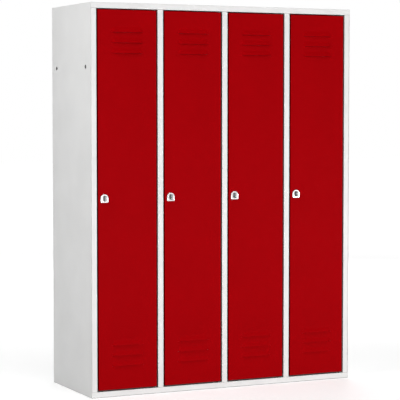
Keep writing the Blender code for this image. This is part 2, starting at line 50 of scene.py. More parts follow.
# Folded sheet
SHEET = 0.001
SEAT = 0.0003
BEND_RADIUS = 0.0025
BEND_STEPS = 4
RAW_EDGE = 0.00025
FRAME_LIP = 0.010
DOOR_RETURN = 0.018
DOOR_LIP = 0.012
STIFFENER_CREST = 0.036

# Pressed louvres
LOUVRES_IN_GROUP = 3
LOUVRE_LENGTH = 0.160
LOUVRE_RISE = 0.026
LOUVRE_REACH = 0.006
LOUVRE_END = 0.020
LOUVRE_PITCH = 0.0475
LOUVRE_TOP_MARGIN = 0.1015
LOUVRE_BOTTOM_MARGIN = 0.1075
LOUVRE_SHEAR_GAP = 0.0005
LOUVRE_STEPS = 12
LOUVRE_END_STEPS = 10
LOUVRE_STRAIGHT_STEPS = 4

# Holes
LINK_HOLE_RADIUS = 0.009
LINK_HOLE_INSET = 0.064
LINK_HOLE_DROP = 0.290
PIN_HOLE_RADIUS = 0.0033
BUSH_HOLE_RADIUS = 0.0049
LOCK_HOLE_RADIUS = 0.0093
CUT_MARGIN = 0.002

# Coat rails
COAT_RAIL_RADIUS = 0.011
COAT_RAIL_WALL = 0.0015
COAT_RAIL_CUP_RADIUS = 0.019
COAT_RAIL_CUP_LENGTH = 0.006
COAT_RAIL_EDGE = COAT_RAIL_WALL / 2

# Locks
PLATE_WIDTH = 0.038
PLATE_HEIGHT = 0.039
PLATE_THICKNESS = 0.005
PLATE_TOP_RADIUS = 0.018
PLATE_BOTTOM_RADIUS = 0.004
PLATE_EDGE = 0.0022
BARREL_RADIUS = 0.009
BARREL_BORE_RADIUS = 0.005
THREAD_PITCH = 0.0015
THREAD_DEPTH = 0.0007
NUT_ACROSS_FLATS = 0.026
NUT_THICKNESS = 0.004
NUT_EDGE = 0.0007
GRIP_WIDTH = 0.010
GRIP_HEIGHT = 0.026
GRIP_REACH = 0.012
GRIP_EDGE = 0.0032
SPINDLE_SQUARE = 0.0062
CAM_WIDTH = 0.016
CAM_CORNER = 0.003
CAM_EDGE = 0.0003
SCREW_HEAD_RADIUS = 0.005
SCREW_HEAD_HEIGHT = 0.0035
WASHER_RADIUS = 0.0068
WASHER_THICKNESS = 0.0012

# Fineness of round shapes
ROUND_SIDES = 40
HEXAGON_SIDES = 6
ARC_STEPS = 8
FINE_EDGE_STEPS = 2
COAT_RAIL_EDGE_STEPS = 3
PLATE_EDGE_STEPS = 4
GRIP_EDGE_STEPS = 6
ROUNDED_FROM_ANGLE = math.radians(50)
SMOOTH_ANGLE = math.radians(35)
MOST_CORNERS_KEPT = 4
MERGE_DISTANCE = 0.000001

# Paint and metal: shares of the written colour, and how evenly it shines
NOISE_LOW = 0.3
NOISE_HIGH = 0.7
TONE_DRIFT = 0.03
GLOSS_DRIFT = 0.05
THIN_PAINT_TONE = 1.25
THIN_PAINT_SHARE = 0.35
THIN_PAINT_RADIUS = 0.0012
FOLD_SAMPLES = 6
FLAT_LIKENESS = 0.995
FOLD_LIKENESS = 0.80
# Painted shade: the paint's colour falls to a small share of itself deep in narrow gaps and creases
GAP_SHADE_REACH = 0.012
GAP_SHADE_SAMPLES = 8
GAP_SHADE_CLOSED = 0.12
GAP_SHADE_OPEN = 0.70
GAP_SHADE_TONE = 0.05
METAL_TONES = (0.92, 1.05)
METAL_SHINE = (0.7, 1.4)
PLASTIC_TONES = (0.8, 1.3)
PLASTIC_ROUGHNESS = (0.40, 0.60)

# Camera, fitted to the corners and door edges of the photograph
IMAGE_SIZE = 400
FOCAL_PIXELS = 1611.8
CAMERA_PLACE = (-3.3624, -7.0283, 1.3155)
CAMERA_YAW = math.radians(25.47)
CAMERA_PITCH = math.radians(3.21)

# Studio: each lamp has its place, width and power in watts
WHITE = (1.0, 1.0, 1.0, 1.0)
LAMP_TARGET = Vector((0.0, 0.0, 0.9))
LAMPS = {
    "key_lamp": ((1.0, -8.0, 20.0), 8.0, 800.0),
    "upper_fill_lamp": ((1.0, -4.0, 1.75), 1.6, 8.0),
    "lower_fill_lamp": ((0.0, -4.0, 0.42), 0.8, 50.0),
    "right_fill_lamp": ((3.2, -4.0, 0.42), 0.8, 55.0),
    "side_lamp": ((-2.6, -0.8, 2.6), 1.6, 35.0),
    "low_side_lamp": ((-2.8, -0.7, 0.6), 1.0, 6.5),
    "back_lamp": ((3.0, 4.5, 3.0), 2.0, 130.0),
}
AMBIENT = 0.22
BACKDROP = 1.0
FLOOR_SIZE = 60.0
FLOOR_TONE = 0.80
FLOOR_COLOUR = (FLOOR_TONE, FLOOR_TONE, FLOOR_TONE, 1.0)

# The floor's own white, by distance from the object
FLOOR_NEAR = 1.5
FLOOR_FAR = 9.0
FLOOR_GLOW_NEAR = 0.42
FLOOR_GLOW_FAR = 0.84

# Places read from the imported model
FRONT_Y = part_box("left_stile")[0].y
FRAME_BACK_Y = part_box("left_stile")[1].y
CAM_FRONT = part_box("lock_cam_1")[0].y - FRONT_Y
CAM_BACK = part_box("lock_cam_1")[1].y - FRONT_Y
PLATE_FRONT = -SEAT - PLATE_THICKNESS
GRIP_BACK = PLATE_FRONT - SEAT

# Turns of a shape drawn in another plane
ACROSS = Matrix(((0, 0, 1, 0), (1, 0, 0, 0), (0, 1, 0, 0), (0, 0, 0, 1)))
FACE_UP = Matrix.Rotation(math.radians(-90), 4, "X")
ALONG_X = Matrix.Rotation(math.radians(90), 4, "Y")
ALONG_Y = Matrix.Rotation(math.radians(-90), 4, "X")


# Materials

def add_node(tree, kind, settings=None, inputs=None):
    """Shader node with its settings; an input is a plain value or another node's output."""
    node = tree.nodes.new(kind)
    for name, value in (settings or {}).items():
        setattr(node, name, value)
    for name, value in (inputs or {}).items():
        if isinstance(value, bpy.types.NodeSocket):
            tree.links.new(value, node.inputs[name])
        else:
            node.inputs[name].default_value = value
    return node


def noise(tree, place, scale, detail=2.0):
    inputs = {"Vector": place, "Scale": scale, "Detail": detail}
    return add_node(tree, "ShaderNodeTexNoise", inputs=inputs).outputs["Fac"]


def spread(tree, value, low, high, start=NOISE_LOW, end=NOISE_HIGH):
    """Carries value from the range start to end over to the range low to high."""
    inputs = {"Value": value, "From Min": start, "From Max": end, "To Min": low, "To Max": high}
    return add_node(tree, "ShaderNodeMapRange", inputs=inputs).outputs["Result"]


def calculated(tree, operation, first, second):
    node = add_node(tree, "ShaderNodeMath", {"operation": operation})
    tree.links.new(first, node.inputs[0])
    tree.links.new(second, node.inputs[1])
    return node.outputs["Value"]


def mixed(tree, share, first, second):
    inputs = {"Fac": share, "Color1": first, "Color2": second}
    return add_node(tree, "ShaderNodeMixRGB", inputs=inputs).outputs["Color"]


def bumped(tree, height, strength, distance, below=None):
    inputs = {"Height": height, "Strength": strength, "Distance": distance}
    if below is not None:
        inputs["Normal"] = below
    return add_node(tree, "ShaderNodeBump", inputs=inputs).outputs["Normal"]


def toned(colour, share):
    return (*(min(channel * share, 1.0) for channel in colour), 1.0)


def folds(tree, radius):
    """Near one along folds and edges, and zero on flat faces."""
    softened = add_node(tree, "ShaderNodeBevel", {"samples": FOLD_SAMPLES}, {"Radius": radius})
    facing = add_node(tree, "ShaderNodeNewGeometry").outputs["Normal"]
    likeness = add_node(tree, "ShaderNodeVectorMath", {"operation": "DOT_PRODUCT"})
    tree.links.new(softened.outputs["Normal"], likeness.inputs[0])
    tree.links.new(facing, likeness.inputs[1])
    return spread(
        tree, likeness.outputs["Value"], 0.0, 1.0, start=FLAT_LIKENESS, end=FOLD_LIKENESS)


def blank_material(slot):
    """Material for one of the record's slots, ready for its shader's inputs."""
    material = bpy.data.materials.new(slot)
    material["slot"] = slot
    material.use_nodes = True
    tree = material.node_tree
    shader = tree.nodes["Principled BSDF"]
    place = add_node(tree, "ShaderNodeTexCoord").outputs["Object"]
    return material, tree, shader, place


def painted_gap_shade(tree):
    """One on open faces, falling to zero deep in narrow gaps, where the paint is darkened as painted
    shade.
    """
    settings = {"samples": GAP_SHADE_SAMPLES}
    openness = add_node(tree, "ShaderNodeAmbientOcclusion", settings, {"Distance": GAP_SHADE_REACH})
    return spread(
        tree, openness.outputs["AO"], 0.0, 1.0, start=GAP_SHADE_CLOSED, end=GAP_SHADE_OPEN)


def paint(name, colour, roughness, specular):
    """Powder coat: orange peel, a slow drift of tone, thin paint on folds and painted shade in gaps."""
    material, tree, shader, place = blank_material(name)
    drift = spread(tree, noise(tree, place, scale=5.0), 0.0, 1.0)
    tone = mixed(tree, drift, toned(colour, 1 - TONE_DRIFT), toned(colour, 1 + TONE_DRIFT))
    patches = spread(tree, noise(tree, place, scale=60.0), 0.0, THIN_PAINT_SHARE)
    thin = calculated(tree, "MULTIPLY", folds(tree, THIN_PAINT_RADIUS), patches)
    worn = mixed(tree, thin, tone, toned(colour, THIN_PAINT_TONE))
    # Painted shade deep in narrow gaps and creases
    shaded_in_gaps = mixed(tree, painted_gap_shade(tree), toned(colour, GAP_SHADE_TONE), worn)
    tree.links.new(shaded_in_gaps, shader.inputs["Base Color"])
    cloud = noise(tree, place, scale=30.0, detail=4.0)
    gloss = spread(tree, cloud, roughness - GLOSS_DRIFT, roughness + GLOSS_DRIFT)
    tree.links.new(gloss, shader.inputs["Roughness"])
    waves = bumped(tree, noise(tree, place, scale=3.0, detail=0.0), strength=0.10, distance=0.004)
    peel = bumped(tree, noise(tree, place, scale=700.0), strength=0.12, distance=0.0002, below=waves)
    tree.links.new(peel, shader.inputs["Normal"])
    shader.inputs["Specular IOR Level"].default_value = specular
    return material


def metal(name, colour, roughness, grain_stretch):
    """Plated metal with fine rubbed lines and an uneven shine."""
    material, tree, shader, place = blank_material(name)
    cloud = spread(tree, noise(tree, place, scale=90.0, detail=3.0), 0.0, 1.0)
    dark, bright = (toned(colour, share) for share in METAL_TONES)
    tree.links.new(mixed(tree, cloud, dark, bright), shader.inputs["Base Color"])
    low, high = (roughness * share for share in METAL_SHINE)
    shine = spread(tree, noise(tree, place, scale=220.0, detail=3.0), low, high)
    tree.links.new(shine, shader.inputs["Roughness"])
    stretched = add_node(tree, "ShaderNodeMapping", inputs={"Vector": place, "Scale": grain_stretch})
    lines = noise(tree, stretched.outputs["Vector"], scale=300.0, detail=3.0)
    tree.links.new(bumped(tree, lines, strength=0.06, distance=0.0001), shader.inputs["Normal"])
    shader.inputs["Metallic"].default_value = 1.0
    return material


def moulded_plastic(name, colour):
    material, tree, shader, place = blank_material(name)
    mottle = spread(tree, noise(tree, place, scale=150.0), 0.0, 1.0)
    dark, bright = (toned(colour, share) for share in PLASTIC_TONES)
    tree.links.new(mixed(tree, mottle, dark, bright), shader.inputs["Base Color"])
    gloss = spread(tree, noise(tree, place, scale=400.0), *PLASTIC_ROUGHNESS)
    tree.links.new(gloss, shader.inputs["Roughness"])
    grain = bumped(tree, noise(tree, place, scale=1500.0), strength=0.15, distance=0.0001)
    tree.links.new(grain, shader.inputs["Normal"])
    return material


BODY_PAINT = paint("body_paint", (0.76, 0.76, 0.755), roughness=0.45, specular=0.30)
DOOR_PAINT = paint("door_paint", (0.325, 0.0002, 0.002), roughness=0.48, specular=0.01)
CHROME = metal("chrome", (0.66, 0.66, 0.67), roughness=0.16, grain_stretch=(1, 1, 8))
ZINC = metal("zinc_plate", (0.62, 0.63, 0.64), roughness=0.34, grain_stretch=(1, 6, 1))
# Painted shade: this dark metal stands in for the shade on the lock grips and on the hinge pins in the
# door gaps
SHADE_DARK_METAL = metal("black_plate", (0.14, 0.145, 0.145), roughness=0.34, grain_stretch=(8, 1, 1))
NYLON = moulded_plastic("nylon", (0.05, 0.05, 0.05))


# Modelling helpers

def mesh_from(bm, name):
    mesh = bpy.data.meshes.new(name)
    bm.to_mesh(mesh)
    bm.free()
    return mesh


def add_object(name, data):
    obj = bpy.data.objects.new(name, data)
    bpy.context.scene.collection.objects.link(obj)
    return obj


def thicken(obj):
    shell = obj.modifiers.new("sheet", "SOLIDIFY")
    shell.thickness = SHEET
    shell.offset = -1
    shell.use_even_offset = True


def round_edges(obj, width, segments):
    edge = obj.modifiers.new("rounded_edges", "BEVEL")
    edge.width = width
    edge.segments = segments
    edge.limit_method = "ANGLE"
    edge.angle_limit = ROUNDED_FROM_ANGLE


def combine(obj, bm, operation):
    """Joins the shape in bm to obj, or cuts it out of obj; returns the helper object."""
    tool = add_object("tool", mesh_from(bm, "tool"))
    step = obj.modifiers.new("tool", "BOOLEAN")
    step.operation = operation
    step.object = tool
    step.solver = "EXACT"
    return tool


def evaluated_mesh(obj):
    """Mesh of obj with its modifiers applied."""
    bpy.context.view_layer.update()
    graph = bpy.context.evaluated_depsgraph_get()
    return bpy.data.meshes.new_from_object(obj.evaluated_get(graph))


def baked(obj, *tools):
    """Final mesh of obj, smooth with its flat faces kept flat; obj and its tools are removed."""
    shaped = evaluated_mesh(obj)
    shaped.shade_smooth()
    shaped.set_sharp_from_angle(angle=SMOOTH_ANGLE)
    obj.modifiers.clear()
    obj.data = shaped
    split = obj.modifiers.new("split_faces", "TRIANGULATE")
    split.min_vertices = MOST_CORNERS_KEPT + 1
    even = obj.modifiers.new("even_normals", "WEIGHTED_NORMAL")
    even.keep_sharp = True
    mesh = evaluated_mesh(obj)
    for used in (obj, *tools):
        bpy.data.objects.remove(used, do_unlink=True)
    return mesh


def dress(name, mesh, material, body, replaced=(), location=(0, 0, 0)):
    """Shown piece that moves with a body, and that may stand for CAD nodes."""
    piece = add_object(name, mesh)
    piece.location = location
    mesh.materials.clear()
    mesh.materials.append(material)
    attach(piece, body)
    if replaced:
        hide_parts(*replaced)
    return piece


def rod(bm, radius, start, end, sides=ROUND_SIDES):
    """Closed cylinder between two points."""
    start = Vector(start)
    reach = Vector(end) - start
    turn = reach.to_track_quat("Z", "Y").to_matrix().to_4x4()
    place = Matrix.Translation(start + reach / 2) @ turn
    bmesh.ops.create_cone(
        bm, cap_ends=True, segments=sides, radius1=radius, radius2=radius,
        depth=reach.length, matrix=place)


def rods(radius, ends):
    bm = bmesh.new()
    for start, end in ends:
        rod(bm, radius, start, end)
    return bm


def turned(profile):
    """Ring turned about Z from a closed profile of (radius, height)."""
    bm = bmesh.new()
    points = [bm.verts.new((radius, 0, height)) for radius, height in profile]
    edges = [bm.edges.new(pair) for pair in zip(points, points[1:] + points[:1])]
    bmesh.ops.spin(
        bm, geom=points + edges, cent=(0, 0, 0), axis=(0, 0, 1), angle=math.tau,
        steps=ROUND_SIDES, use_merge=True)
    bmesh.ops.recalc_face_normals(bm, faces=bm.faces)
    return bm


def rounded_outline(width, height, top_radius, bottom_radius):
    """Points round a plate, anticlockwise from the lower right corner's arc."""
    right = width / 2
    top = height / 2
    arcs = (
        (right - bottom_radius, bottom_radius - top, bottom_radius, -90),
        (right - top_radius, top - top_radius, top_radius, 0),
        (top_radius - right, top - top_radius, top_radius, 90),
        (bottom_radius - right, bottom_radius - top, bottom_radius, 180),
    )
    points = []
    for centre_x, centre_z, radius, first_angle in arcs:
        for step in range(ARC_STEPS + 1):
            angle = math.radians(first_angle + 90 * step / ARC_STEPS)
            points.append((centre_x + radius * math.cos(angle), centre_z + radius * math.sin(angle)))
    return points


def slab(outline, front, back):
    """Upright plate with the outline seen from the front, between two depths along Y."""
    bm = bmesh.new()
    near = [bm.verts.new((x, front, z)) for x, z in outline]
    far = [bm.verts.new((x, back, z)) for x, z in outline]
    bm.faces.new(near)
    bm.faces.new(reversed(far))
    for first in range(len(outline)):
        bm.faces.new((far[first], far[first - 1], near[first - 1], near[first]))
    bmesh.ops.remove_doubles(bm, verts=bm.verts, dist=MERGE_DISTANCE)
    bmesh.ops.recalc_face_normals(bm, faces=bm.faces)
    return bm


# Bent sheet

def bent(corners):
    """Points along a folded profile, whose outer faces lie on the right of the walk along it."""
    corners = [Vector(corner) for corner in corners]
    points = [corners[0]]
    for before, corner, after in zip(corners, corners[1:], corners[2:]):
        inward = (corner - before).normalized()
        onward = (after - corner).normalized()
        radius = BEND_RADIUS if inward.cross(onward) > 0 else BEND_RADIUS - SHEET
        centre = corner - inward * radius + onward * radius
        for step in range(BEND_STEPS + 1):
            angle = math.radians(90 * step / BEND_STEPS)
            turned_part = inward * radius * math.sin(angle)
            points.append(centre - onward * radius * math.cos(angle) + turned_part)
    points.append(corners[-1])
    return points


def bent_sheet(corners, start, end, across=False, holes=None):
    """Mesh of a sheet folded along corners, drawn out from start to end, with holes cut in it."""
    bm = bmesh.new()
    profile = bent(corners)
    near = [bm.verts.new((point.x, point.y, start)) for point in profile]
    far = [bm.verts.new((point.x, point.y, end)) for point in profile]
    for first in range(len(profile) - 1):
        bm.faces.new((near[first], near[first + 1], far[first + 1], far[first]))
    if across:
        bm.transform(ACROSS)
    sheet = add_object("sheet", mesh_from(bm, "sheet"))
    thicken(sheet)
    tools = [combine(sheet, holes, "DIFFERENCE")] if holes else []
    round_edges(sheet, RAW_EDGE, FINE_EDGE_STEPS)
    return baked(sheet, *tools)


def rim_places(columns, rows):
    """Points round a grid's border, with the way outward there, anticlockwise from the front."""
    sides = (
        ([(x, rows[0]) for x in columns], -90),
        ([(columns[-1], z) for z in rows], 0),
        ([(x, rows[-1]) for x in reversed(columns)], 90),
        ([(columns[0], z) for z in reversed(rows)], 180),
    )
    places = []
    for points, facing in sides:
        places += [(x, z, math.radians(facing)) for x, z in points]
        corner_x, corner_z = points[-1]
        for step in range(1, BEND_STEPS):
            places.append((corner_x, corner_z, math.radians(facing + 90 * step / BEND_STEPS)))
    return places


def pan_rings(depth, lip):
    """How far each ring of a pan's turned edge stands out from the flat face, and its depth."""
    radius = BEND_RADIUS
    bends = [math.radians(90 * step / BEND_STEPS) for step in range(BEND_STEPS + 1)]
    rings = [(radius * math.sin(bend), radius * (1 - math.cos(bend))) for bend in bends]
    if lip:
        rings += [(radius * math.cos(bend), depth - radius * (1 - math.sin(bend))) for bend in bends]
        rings.append((radius - lip, depth))
    else:
        rings.append((radius, depth))
    return rings


def pan(columns, rows, depth, lip=0.0, reach=lambda x, z: 0.0, sheared=lambda x, z: False):
    """Sheet with its four edges turned back and lipped; its face is at zero depth and looks to -Y.

    The grid lines cover the flat face. reach tells how far a point is pressed forward, and sheared
    tells which cells of the grid are cut away.
    """
    bm = bmesh.new()
    points = {(x, z): bm.verts.new((x, -reach(x, z), z)) for x in columns for z in rows}
    for left, right in zip(columns, columns[1:]):
        for low, high in zip(rows, rows[1:]):
            if not sheared((left + right) / 2, (low + high) / 2):
                corners = ((left, low), (right, low), (right, high), (left, high))
                bm.faces.new([points[corner] for corner in corners])
    places = rim_places(columns, rows)
    inner = None
    for out, y in pan_rings(depth, lip):
        outer = []
        for x, z, facing in places:
            if out >= 0:
                spot = (x + out * math.cos(facing), y, z + out * math.sin(facing))
            else:
                spot = (
                    min(max(x, columns[0] - out), columns[-1] + out), y,
                    min(max(z, rows[0] - out), rows[-1] + out))
            outer.append(bm.verts.new(spot))
        if inner:
            for first in range(len(places)):
                bm.faces.new((inner[first - 1], outer[first - 1], outer[first], inner[first]))
        inner = outer
    bmesh.ops.remove_doubles(bm, verts=bm.verts, dist=MERGE_DISTANCE)
    return bm


# Fixed body

def mirrored(profile):
    return [(-u, v) for u, v in reversed(profile)]


def dress_sides():
    low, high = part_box("left_side_panel")
    profile = [(high.x, high.y), (low.x, high.y), (low.x, low.y)]
    z = high.z - LINK_HOLE_DROP
    hole_ends = [
        ((low.x - CUT_MARGIN, y, z), (CUT_MARGIN - low.x, y, z))
        for y in (low.y + LINK_HOLE_INSET, high.y - LINK_HOLE_INSET)]
    for side, corners in (("left", profile), ("right", mirrored(profile))):
        sheet = bent_sheet(corners, low.z, high.z, holes=rods(LINK_HOLE_RADIUS, hole_ends))
        dress(f"{side}_side_sheet", sheet, BODY_PAINT, "carcass", [f"{side}_side_panel"])


def hinge_holes(radius, z):
    ends = []
    for column in range(1, COLUMNS + 1):
        low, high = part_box(f"upper_hinge_pin_{column}")
        x = (low.x + high.x) / 2
        y = (low.y + high.y) / 2
        ends.append(((x, y, z - CUT_MARGIN), (x, y, z + CUT_MARGIN)))
    return rods(radius, ends)


def rail_section(low, high):
    """Front rail below a level plate: the plate's front edge, the face, the return and its lip."""
    return [(FRONT_Y, high), (FRONT_Y, low), (FRAME_BACK_Y, low), (FRAME_BACK_Y, low + FRAME_LIP)]


def dress_top_and_floor():
    low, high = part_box("top_panel")
    profile = [(high.y, high.z)] + rail_section(low.z, high.z)
    top = bent_sheet(profile, low.x, high.x, across=True, holes=hinge_holes(PIN_HOLE_RADIUS, low.z))
    dress("top_sheet", top, BODY_PAINT, "carcass", ["top_panel"])
    low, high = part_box("floor_panel")
    profile = [(high.y, low.z), (high.y, high.z)] + rail_section(low.z, high.z)
    floor = bent_sheet(profile, low.x, high.x, across=True, holes=hinge_holes(BUSH_HOLE_RADIUS, high.z))
    dress("floor_sheet", floor, BODY_PAINT, "carcass", ["floor_panel"])


def dress_back():
    low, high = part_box("back_panel")
    profile = [(low.y, low.z), (high.y, low.z), (high.y, high.z), (low.y, high.z)]
    back = bent_sheet(profile, low.x, high.x, across=True)
    dress("back_sheet", back, BODY_PAINT, "carcass", ["back_panel"])


def dress_front_frame():
    posts = [f"centre_post_{number}" for number in range(1, COLUMNS)]
    for node in ["left_stile", "right_stile"] + posts:
        low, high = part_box(node)
        profile = [
            (low.x + FRAME_LIP, high.y), (low.x, high.y), (low.x, low.y),
            (high.x, low.y), (high.x, high.y), (high.x - FRAME_LIP, high.y)]
        dress(f"{node}_sheet", bent_sheet(profile, low.z, high.z), BODY_PAINT, "carcass", [node])


def dress_partitions():
    for number in range(1, COLUMNS):
        node = f"partition_{number}"
        low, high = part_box(node)
        profile = [(low.x, low.y), (high.x, low.y), (high.x, high.y), (low.x, high.y)]
        dress(f"{node}_sheet", bent_sheet(profile, low.z, high.z), BODY_PAINT, "carcass", [node])


def dress_shelves():
    for number in range(1, COLUMNS + 1):
        node = f"hat_shelf_{number}"
        low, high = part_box(node)
        columns = [low.x + BEND_RADIUS, high.x - BEND_RADIUS]
        rows = [low.y + BEND_RADIUS, high.y - BEND_RADIUS]
        tray = add_object("tray", mesh_from(pan(columns, rows, high.z - low.z), "tray"))
        tray.data.transform(Matrix.Translation((0, 0, high.z)) @ FACE_UP)
        thicken(tray)
        round_edges(tray, RAW_EDGE, FINE_EDGE_STEPS)
        dress(f"{node}_sheet", baked(tray), BODY_PAINT, "carcass", [node])


def dress_coat_rails():
    bore = COAT_RAIL_RADIUS - COAT_RAIL_WALL
    for number in range(1, COLUMNS + 1):
        node = f"coat_rail_{number}"
        low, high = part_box(node)
        length = high.x - low.x
        profile = [
            (bore, length), (COAT_RAIL_CUP_RADIUS, length),
            (COAT_RAIL_CUP_RADIUS, length - COAT_RAIL_CUP_LENGTH),
            (COAT_RAIL_RADIUS, length - COAT_RAIL_CUP_LENGTH),
            (COAT_RAIL_RADIUS, COAT_RAIL_CUP_LENGTH), (COAT_RAIL_CUP_RADIUS, COAT_RAIL_CUP_LENGTH),
            (COAT_RAIL_CUP_RADIUS, 0), (bore, 0)]
        tube = add_object("tube", mesh_from(turned(profile), "tube"))
        left_end = Vector((low.x, (low.y + high.y) / 2, (low.z + high.z) / 2))
        tube.data.transform(Matrix.Translation(left_end) @ ALONG_X)
        round_edges(tube, COAT_RAIL_EDGE, COAT_RAIL_EDGE_STEPS)
        dress(f"{node}_tube", baked(tube), ZINC, "carcass", [node])


# Doors

def louvre_reach(across, above):
    """How far the sheet is pressed forward at a place measured from the middle of a louvre's lip."""
    beyond = max(abs(across) - LOUVRE_LENGTH / 2 + LOUVRE_END, 0.0) / LOUVRE_END
    share = math.hypot(beyond, above / LOUVRE_RISE)
    if above < 0 or share >= 1:
        return 0.0
    return LOUVRE_REACH * (1 - share ** 2 * (3 - 2 * share))


def louvre_columns():
    """Grid lines across a louvre, close together over its rounded ends."""
    straight = LOUVRE_LENGTH / 2 - LOUVRE_END
    end = [straight + LOUVRE_END * step / LOUVRE_END_STEPS for step in range(LOUVRE_END_STEPS + 1)]
    shares = [2 * step / LOUVRE_STRAIGHT_STEPS - 1 for step in range(1, LOUVRE_STRAIGHT_STEPS)]
    middle = [straight * share for share in shares]
    return [-x for x in reversed(end)] + middle + end


def door_mesh():
    """Door pan about its own middle line, with the louvres pressed out of its sheet."""
    low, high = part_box("door_panel_1")
    half = (high.x - low.x) / 2
    middle_x = (high.x + low.x) / 2
    steps = range(LOUVRES_IN_GROUP)
    lower = [low.z + LOUVRE_BOTTOM_MARGIN + step * LOUVRE_PITCH for step in steps]
    upper = [high.z - LOUVRE_TOP_MARGIN - step * LOUVRE_PITCH for step in steps]
    lips = lower + upper[::-1]

    columns = [BEND_RADIUS - half] + louvre_columns() + [half - BEND_RADIUS]
    rows = [low.z + BEND_RADIUS]
    for lip in lips:
        rows.append(lip - LOUVRE_SHEAR_GAP)
        rows += [lip + LOUVRE_RISE * step / LOUVRE_STEPS for step in range(LOUVRE_STEPS + 1)]
    rows.append(high.z - BEND_RADIUS)

    def reach(x, z):
        return max(louvre_reach(x, z - lip) for lip in lips)

    def sheared(x, z):
        below_a_lip = any(lip - LOUVRE_SHEAR_GAP < z < lip for lip in lips)
        return below_a_lip and abs(x) < LOUVRE_LENGTH / 2

    sheet = pan(columns, rows, DOOR_RETURN, DOOR_LIP, reach, sheared)
    door = add_object("door", mesh_from(sheet, "door"))
    thicken(door)
    pin_low, pin_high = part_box("upper_hinge_pin_1")
    pin_x = (pin_low.x + pin_high.x) / 2 - middle_x
    pin_y = (pin_low.y + pin_high.y) / 2 - FRONT_Y
    holes = rods(PIN_HOLE_RADIUS, [
        ((pin_x, pin_y, z - CUT_MARGIN), (pin_x, pin_y, z + CUT_MARGIN)) for z in (low.z, high.z)])
    lock_x, lock_z = lock_axis(1)
    lock_x -= middle_x
    rod(holes, LOCK_HOLE_RADIUS, (lock_x, -CUT_MARGIN, lock_z), (lock_x, CUT_MARGIN, lock_z))
    return baked(door, combine(door, holes, "DIFFERENCE"))


def stiffener_mesh():
    """Hat-section rib about its own middle line."""
    low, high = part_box("door_stiffener_1")
    brim = (high.x - low.x) / 2
    crest = STIFFENER_CREST / 2
    foot_y = low.y + SHEET
    half_profile = [(brim, foot_y), (crest, foot_y), (crest, high.y)]
    return bent_sheet(half_profile + mirrored(half_profile), low.z, high.z)


def dress_doors():
    door = door_mesh()
    stiffener = stiffener_mesh()
    for number in range(1, COLUMNS + 1):
        panel = f"door_panel_{number}"
        rib = f"door_stiffener_{number}"
        low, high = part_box(panel)
        middle_x = (low.x + high.x) / 2
        body = f"door_{number}"
        dress(f"door_skin_{number}", door, DOOR_PAINT, body, [panel], (middle_x, FRONT_Y, 0))
        dress(f"door_rib_{number}", stiffener, DOOR_PAINT, body, [rib], (middle_x, 0, 0))


# Locks, each about its axis where it meets the door's front face

def lock_axis(number):
    low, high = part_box(f"lock_grip_{number}")
    return (low.x + high.x) / 2, (low.z + high.z) / 2


def threaded_barrel(start, end):
    """Bored barrel with a thread's ridges, along Y."""
    count = round((end - start) / THREAD_PITCH)
    pitch = (end - start) / count
    root_radius = BARREL_RADIUS - THREAD_DEPTH
    ridges = []
    for turn in range(count):
        ridges.append((root_radius, start + turn * pitch))
        ridges.append((BARREL_RADIUS, start + (turn + 0.5) * pitch))
    ridges.append((root_radius, end))
    barrel = turned([(BARREL_BORE_RADIUS, start)] + ridges + [(BARREL_BORE_RADIUS, end)])
    barrel.transform(ALONG_Y)
    return barrel


def housing_mesh():
    outline = rounded_outline(PLATE_WIDTH, PLATE_HEIGHT, PLATE_TOP_RADIUS, PLATE_BOTTOM_RADIUS)
    plate = add_object("plate", mesh_from(slab(outline, PLATE_FRONT, -SEAT), "plate"))
    round_edges(plate, PLATE_EDGE, PLATE_EDGE_STEPS)
    bore_ends = ((0, PLATE_FRONT - CUT_MARGIN, 0), (0, CUT_MARGIN, 0))
    bore = combine(plate, rods(BARREL_BORE_RADIUS, [bore_ends]), "DIFFERENCE")
    barrel = combine(plate, threaded_barrel(-SEAT - PLATE_THICKNESS / 2, CAM_FRONT - SEAT), "UNION")
    return baked(plate, bore, barrel)


def nut_mesh():
    near = SHEET + SEAT
    corner_radius = NUT_ACROSS_FLATS / 2 / math.cos(math.pi / HEXAGON_SIDES)
    bm = bmesh.new()
    rod(bm, corner_radius, (0, near, 0), (0, near + NUT_THICKNESS, 0), sides=HEXAGON_SIDES)
    nut = add_object("nut", mesh_from(bm, "nut"))
    round_edges(nut, NUT_EDGE, FINE_EDGE_STEPS)
    hole_ends = ((0, near - CUT_MARGIN, 0), (0, near + NUT_THICKNESS + CUT_MARGIN, 0))
    return baked(nut, combine(nut, rods(BARREL_RADIUS + SEAT, [hole_ends]), "DIFFERENCE"))


def square_bar(width, start, end):
    half = width / 2
    return slab([(half, -half), (half, half), (-half, half), (-half, -half)], start, end)


def grip_mesh():
    """Oval grip with its round spindle and the square end that carries the cam."""
    outline = rounded_outline(GRIP_WIDTH, GRIP_HEIGHT, GRIP_WIDTH / 2, GRIP_WIDTH / 2)
    grip = add_object("grip", mesh_from(slab(outline, GRIP_BACK - GRIP_REACH, GRIP_BACK), "grip"))
    round_edges(grip, GRIP_EDGE, GRIP_EDGE_STEPS)
    shoulder = CAM_FRONT - SEAT
    ends = ((0, GRIP_BACK - GRIP_REACH / 2, 0), (0, shoulder, 0))
    spindle = combine(grip, rods(BARREL_BORE_RADIUS - SEAT, [ends]), "UNION")
    square = combine(grip, square_bar(SPINDLE_SQUARE, shoulder - CUT_MARGIN, CAM_BACK), "UNION")
    return baked(grip, spindle, square)


